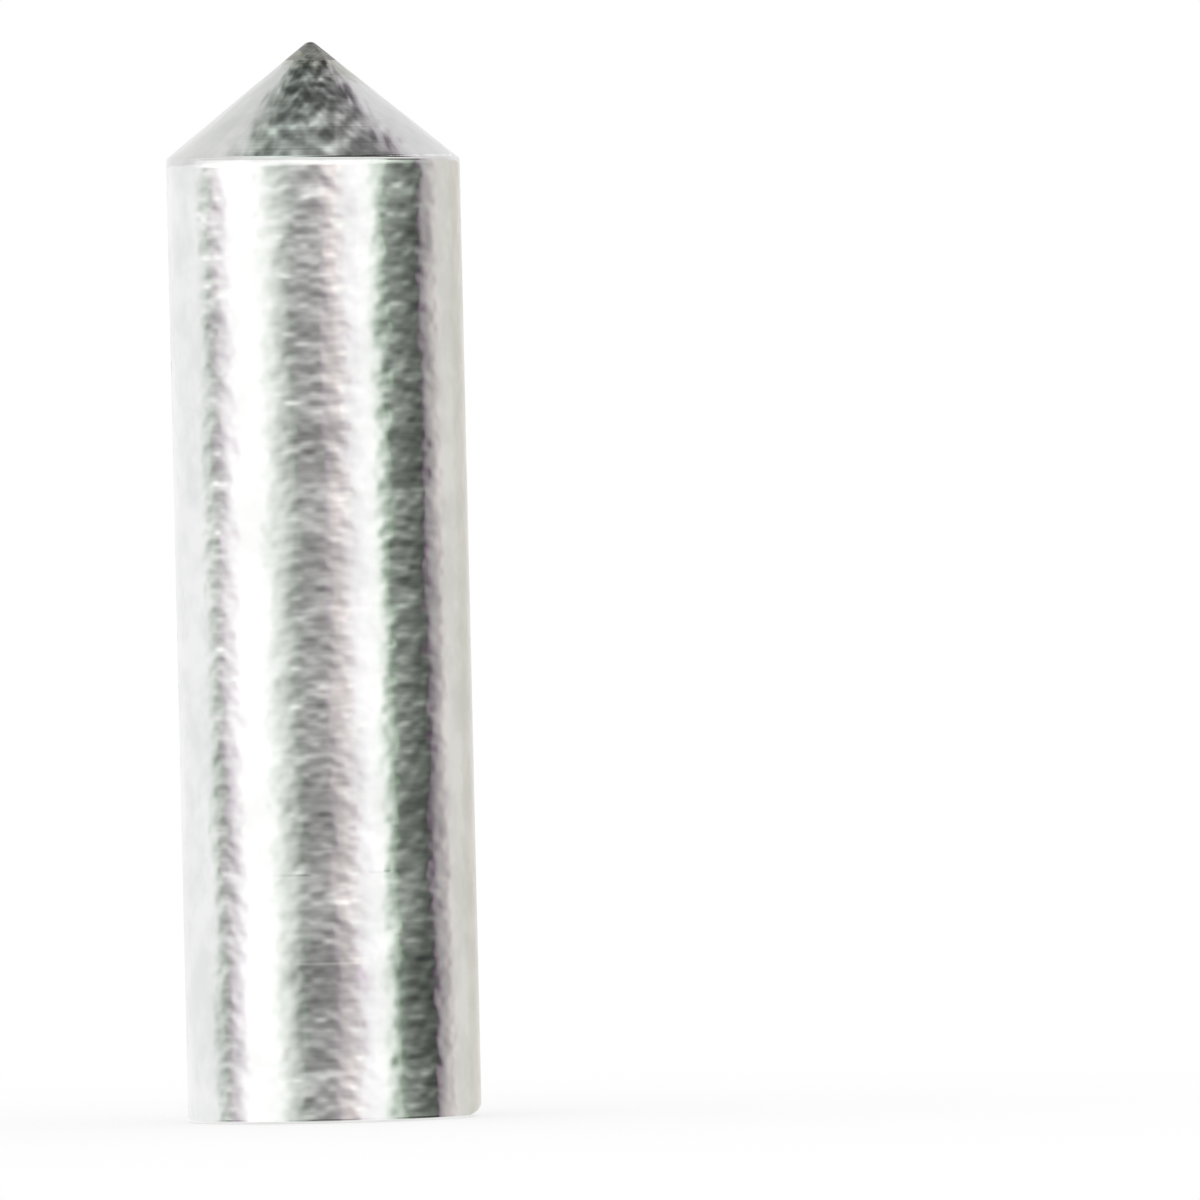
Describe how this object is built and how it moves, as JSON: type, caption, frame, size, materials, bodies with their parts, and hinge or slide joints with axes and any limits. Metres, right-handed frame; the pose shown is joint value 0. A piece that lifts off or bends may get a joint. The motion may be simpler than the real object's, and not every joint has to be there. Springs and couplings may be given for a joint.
{
  "type": "diamond engraving bit",
  "caption": "Short plain round steel shank with a conical nose and a diamond set in its tip, held by a hand-held engraver to mark metal, glass, stone or plastic.",
  "frame": {"origin": "centre of the flat tail end", "axes": "+Z along the shank's axis from the tail to the point, +X towards the bruised corner of the tail end"},
  "size_m": [0.0048, 0.0048, 0.0175],
  "materials": {
    "ground_steel": "centreless-ground and tumbled bright steel, fine grain, a few faint rings",
    "diamond": "industrial diamond, grey-brown, ground to a cone with a rough grainy surface"
  },
  "bodies": {
    "root": {"shank": "ground_steel", "diamond_point": "diamond"}
  },
  "joints": []
}
